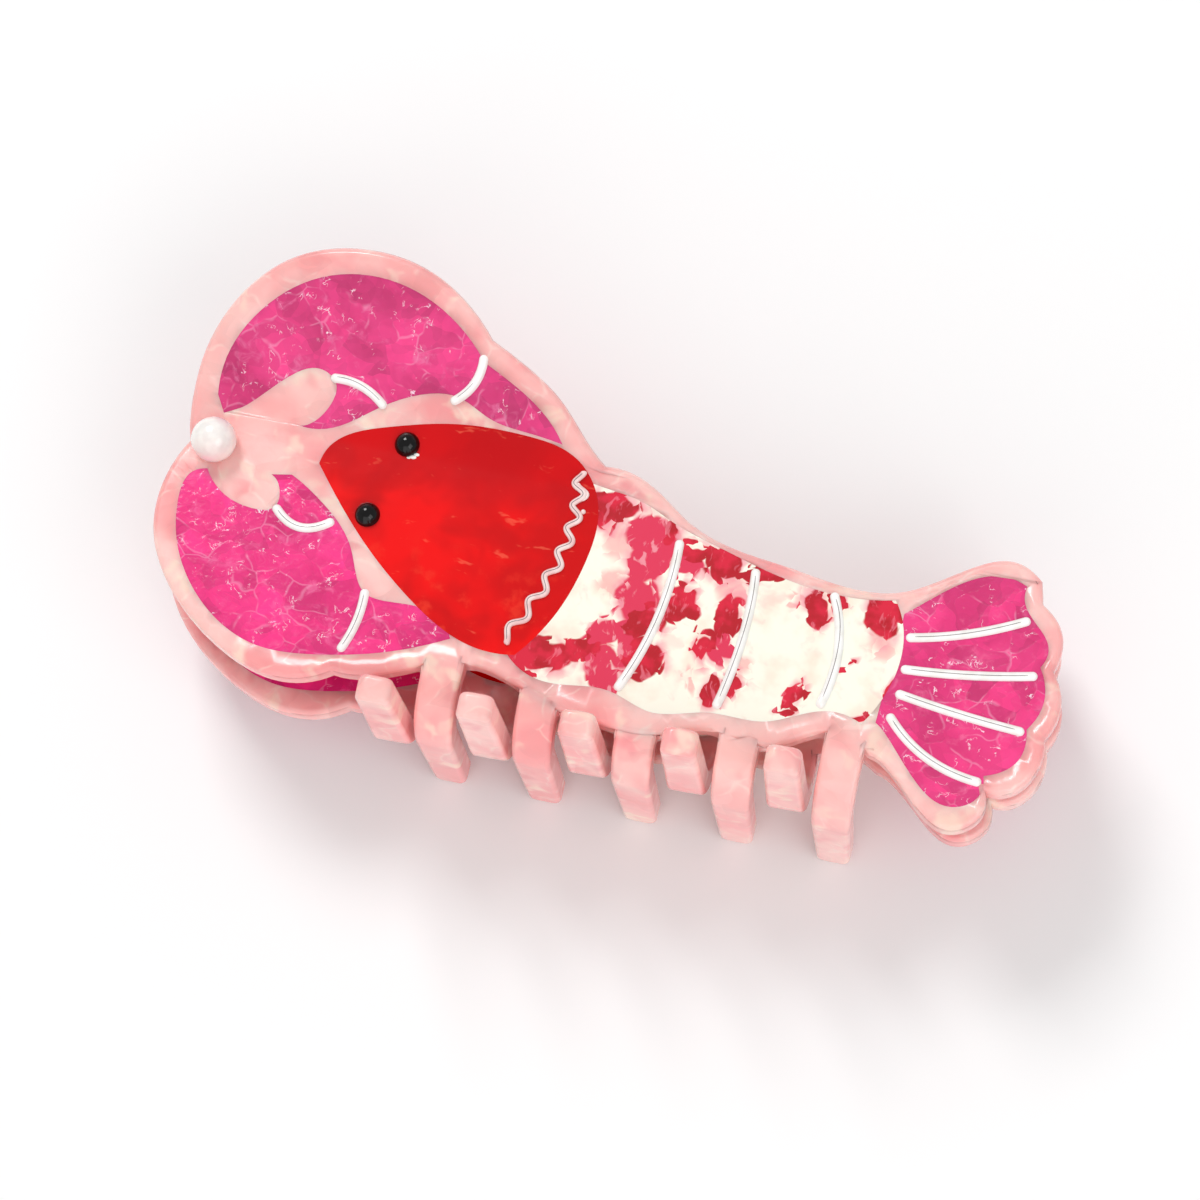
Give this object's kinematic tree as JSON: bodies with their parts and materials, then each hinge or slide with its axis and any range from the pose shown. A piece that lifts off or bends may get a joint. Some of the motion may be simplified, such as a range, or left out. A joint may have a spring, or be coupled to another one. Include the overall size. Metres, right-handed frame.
{
  "type": "hair claw clip",
  "caption": "Lobster-shaped acetate hair claw clip: two inlaid jaws with curved interlocking teeth on a sprung middle hinge.",
  "frame": {"origin": "centre of the clip's box at its lowest level, the tips of the front jaw's teeth", "axes": "+X from the claws to the tail, along the hinge; +Y towards the handle edge; +Z out of the front jaw's decorated face"},
  "size_m": [0.119, 0.0586, 0.036],
  "materials": {
    "pearl_acetate": "polished pearl pink acetate",
    "magenta_acetate": "polished magenta acetate with pearl flakes",
    "red_acetate": "polished red acetate",
    "marbled_acetate": "polished cream acetate with crimson marbling",
    "pink_enamel": "gloss enamel",
    "white_enamel": "gloss white enamel",
    "black_gloss": "gloss black",
    "pearl_bead": "pearlescent bead",
    "spring_wire": "drawn spring wire",
    "nickel_steel": "nickel plated steel"
  },
  "bodies": {
    "rear_jaw": {"hinge_pin": "nickel_steel", "rear_body_inlay": "marbled_acetate", "rear_body_line_1": "white_enamel", "rear_body_line_2": "white_enamel", "rear_body_line_3": "white_enamel", "rear_carapace_inlay": "red_acetate", "rear_claw_line_1": "white_enamel", "rear_claw_line_2": "white_enamel", "rear_claw_line_3": "white_enamel", "rear_claw_line_4": "white_enamel", "rear_eye_1": "black_gloss", "rear_eye_2": "black_gloss", "rear_hinge_leaf": "nickel_steel", "rear_hinge_rivets": "nickel_steel", "rear_lower_claw_inlay": "magenta_acetate", "rear_pearl": "pearl_bead", "rear_plate": "pearl_acetate", "rear_tail_inlay": "magenta_acetate", "rear_tail_line_1": "white_enamel", "rear_tail_line_2": "white_enamel", "rear_tail_line_3": "white_enamel", "rear_tail_line_4": "white_enamel", "rear_upper_claw_inlay": "magenta_acetate", "rear_wave_line": "pink_enamel", "torsion_spring": "spring_wire"},
    "front_jaw": {"front_body_inlay": "marbled_acetate", "front_body_line_1": "white_enamel", "front_body_line_2": "white_enamel", "front_body_line_3": "white_enamel", "front_carapace_inlay": "red_acetate", "front_claw_line_1": "white_enamel", "front_claw_line_2": "white_enamel", "front_claw_line_3": "white_enamel", "front_claw_line_4": "white_enamel", "front_eye_1": "black_gloss", "front_eye_2": "black_gloss", "front_hinge_leaf": "nickel_steel", "front_hinge_rivets": "nickel_steel", "front_lower_claw_inlay": "magenta_acetate", "front_pearl": "pearl_bead", "front_plate": "pearl_acetate", "front_tail_inlay": "magenta_acetate", "front_tail_line_1": "white_enamel", "front_tail_line_2": "white_enamel", "front_tail_line_3": "white_enamel", "front_tail_line_4": "white_enamel", "front_upper_claw_inlay": "magenta_acetate", "front_wave_line": "pink_enamel"}
  },
  "joints": [
    {"name": "jaw_hinge", "type": "hinge", "parent": "rear_jaw", "child": "front_jaw", "pos_m": [0.00346, -0.00256, 0.018], "axis": [-1, 0, 0], "range_deg": [0, 40], "stiffness_Nm_per_rad": 0.12, "springref_deg": -28.65, "deforming": ["torsion_spring"]}
  ]
}
